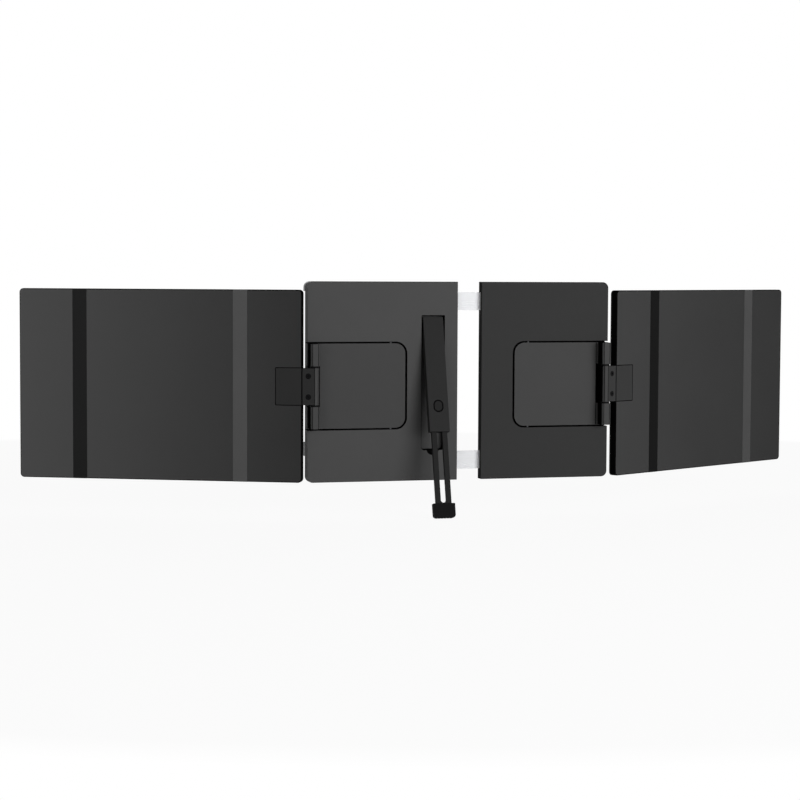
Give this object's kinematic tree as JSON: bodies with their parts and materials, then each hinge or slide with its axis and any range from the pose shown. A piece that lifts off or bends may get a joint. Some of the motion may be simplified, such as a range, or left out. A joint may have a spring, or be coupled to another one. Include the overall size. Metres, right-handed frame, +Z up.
{
  "type": "laptop screen extender",
  "caption": "Sliding carrier that clips on the back of a laptop lid and holds a hinged portable screen on each side, with a telescopic kickstand.",
  "frame": {"origin": "face of the left carrier's lid pad, in line with the kickstand and at mid-height of the carriers", "axes": "+X along the carriers to the side away from the kickstand's carrier, +Y towards the user (the lid face looks along it), +Z up"},
  "size_m": [0.8475, 0.1917, 0.2344],
  "materials": {
    "cover": "anodised, fine matt texture",
    "arm": "anodised satin",
    "screen": "anodised satin, smooth",
    "gloss_strip": "polished",
    "satin_strip": "satin",
    "stand": "anodised matt",
    "rail": "drawn, fluted lengthwise",
    "steel": "turned",
    "black_screw": "blackened",
    "hook": "matt",
    "soft": "soft silicone",
    "bezel": "matt",
    "display": "glossy dark screen",
    "board": "circuit board",
    "glide": "waxy",
    "key": "matt"
  },
  "bodies": {
    "left_carrier": {"left_back_cover": "cover", "left_front_plate": "cover", "left_corner_hook": "hook", "left_side_hook": "hook", "left_hook_liners": "soft", "left_face_pads": "soft", "left_cover_screws": "steel", "left_arm_pins": "steel", "upper_rail": "rail", "lower_rail": "rail", "rail_screws": "steel", "stand_hinge_pin": "steel"},
    "right_carrier": {"right_back_cover": "cover", "right_front_plate": "cover", "right_corner_hook": "hook", "right_side_hook": "hook", "right_hook_liners": "soft", "right_face_pads": "soft", "right_cover_screws": "steel", "right_arm_pins": "steel", "rail_glides": "glide"},
    "left_arm": {"left_swing_arm": "arm", "left_hinge_shaft": "steel", "left_hinge_washers": "steel"},
    "left_screen": {"left_knuckle_block": "arm", "left_hinge_leaf": "arm", "left_leaf_screws": "black_screw", "left_screen_cover": "screen", "left_inner_strip": "satin_strip", "left_outer_strip": "gloss_strip", "left_screen_bezel": "bezel", "left_display_panel": "display", "left_driver_board": "board", "left_usb_sockets": "steel"},
    "left_power_key": {"left_power_button": "key"},
    "left_menu_key": {"left_menu_button": "key"},
    "left_source_key": {"left_source_button": "key"},
    "right_arm": {"right_swing_arm": "arm", "right_hinge_shaft": "steel", "right_hinge_washers": "steel"},
    "right_screen": {"right_knuckle_block": "arm", "right_hinge_leaf": "arm", "right_leaf_screws": "black_screw", "right_screen_cover": "screen", "right_inner_strip": "gloss_strip", "right_outer_strip": "satin_strip", "right_screen_bezel": "bezel", "right_display_panel": "display", "right_driver_board": "board", "right_usb_sockets": "steel"},
    "right_power_key": {"right_power_button": "key"},
    "right_menu_key": {"right_menu_button": "key"},
    "right_source_key": {"right_source_button": "key"},
    "kickstand": {"stand_channel": "stand", "button_spring": "steel"},
    "leg": {"stand_leg": "stand", "stand_foot": "soft"},
    "release": {"release_button": "stand"}
  },
  "joints": [
    {"name": "right_carrier_slide", "type": "slide", "parent": "left_carrier", "child": "right_carrier", "axis": [1, 0, 0], "range_m": [-0.0248, 0.05]},
    {"name": "left_arm_swing", "type": "hinge", "parent": "left_carrier", "child": "left_arm", "pos_m": [-0.0437, -0.0092, -0.0037], "axis": [0, 0, 1], "range_deg": [0, 18]},
    {"name": "right_arm_swing", "type": "hinge", "parent": "right_carrier", "child": "right_arm", "pos_m": [0.1011, -0.0092, -0.0037], "axis": [0, 0, -1], "range_deg": [0, 18]},
    {"name": "left_screen_hinge", "type": "hinge", "parent": "left_arm", "child": "left_screen", "pos_m": [-0.124, -0.0196, -0.0037], "axis": [0, 0, -1], "range_deg": [-140, 17.5]},
    {"name": "right_screen_hinge", "type": "hinge", "parent": "right_arm", "child": "right_screen", "pos_m": [0.1814, -0.0196, -0.0037], "axis": [0, 0, 1], "range_deg": [-144.7, 12.8]},
    {"name": "kickstand_hinge", "type": "hinge", "parent": "left_carrier", "child": "kickstand", "pos_m": [0, -0.0072, 0.0601], "axis": [-1, 0, 0], "range_deg": [-10.7, 31.3]},
    {"name": "leg_slide", "type": "slide", "parent": "kickstand", "child": "leg", "axis": [0, -0.2368, -0.9715], "range_m": [-0.071, 0.003]},
    {"name": "release_press", "type": "slide", "parent": "kickstand", "child": "release", "axis": [0, 0.9715, -0.2368], "range_m": [0, 0.0008], "stiffness_N_per_m": 600, "springref_m": -0.001, "deforming": ["button_spring"]},
    {"name": "left_power_press", "type": "slide", "parent": "left_screen", "child": "left_power_key", "axis": [0.9063, -0.4226, 0], "range_m": [0, 0.0005], "stiffness_N_per_m": 600, "springref_m": -0.001},
    {"name": "left_menu_press", "type": "slide", "parent": "left_screen", "child": "left_menu_key", "axis": [0.9063, -0.4226, 0], "range_m": [0, 0.0005], "stiffness_N_per_m": 600, "springref_m": -0.001},
    {"name": "left_source_press", "type": "slide", "parent": "left_screen", "child": "left_source_key", "axis": [0.9063, -0.4226, 0], "range_m": [0, 0.0005], "stiffness_N_per_m": 600, "springref_m": -0.001},
    {"name": "right_power_press", "type": "slide", "parent": "right_screen", "child": "right_power_key", "axis": [-0.8686, -0.4955, 0], "range_m": [0, 0.0005], "stiffness_N_per_m": 600, "springref_m": -0.001},
    {"name": "right_menu_press", "type": "slide", "parent": "right_screen", "child": "right_menu_key", "axis": [-0.8686, -0.4955, 0], "range_m": [0, 0.0005], "stiffness_N_per_m": 600, "springref_m": -0.001},
    {"name": "right_source_press", "type": "slide", "parent": "right_screen", "child": "right_source_key", "axis": [-0.8686, -0.4955, 0], "range_m": [0, 0.0005], "stiffness_N_per_m": 600, "springref_m": -0.001}
  ]
}
